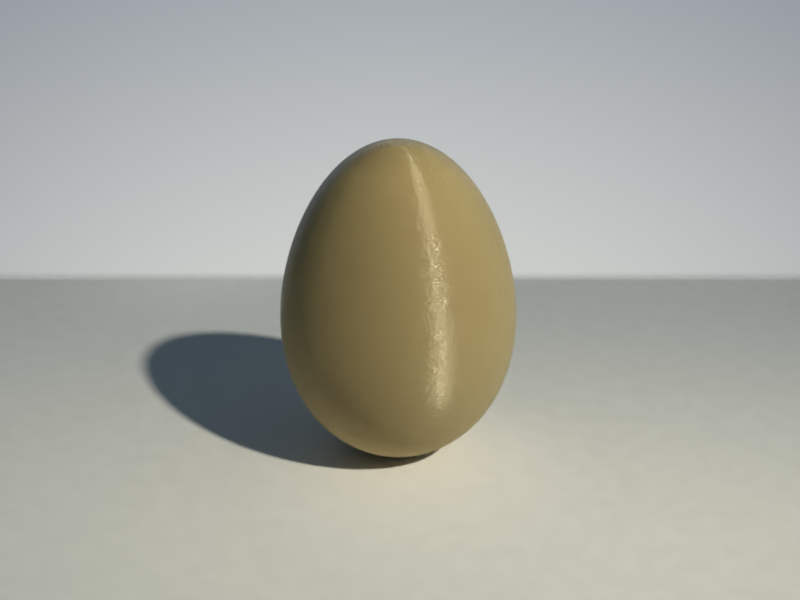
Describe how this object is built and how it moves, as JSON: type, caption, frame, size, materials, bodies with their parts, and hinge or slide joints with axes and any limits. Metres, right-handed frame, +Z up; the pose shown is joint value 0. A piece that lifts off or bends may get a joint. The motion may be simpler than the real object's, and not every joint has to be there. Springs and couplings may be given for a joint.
{
  "type": "3d-printed plastic egg",
  "caption": "Life-size plastic copy of a hen's egg, printed in fine level layers of tan plastic, standing upright on a small flat at its blunt end.",
  "frame": {"origin": "centre of the small flat that the egg stands on, at its blunt end", "axes": "+Z up along the egg's own axis, towards its narrow end; -Y is the side that faces the viewer, and the egg is round about Z"},
  "size_m": [0.0436, 0.0436, 0.06],
  "materials": {
    "tan_plastic": "satin tan plastic, laid in fine level layers whose round beads catch the light in one upright streak"
  },
  "bodies": {
    "root": {"egg": "tan_plastic"}
  },
  "joints": []
}
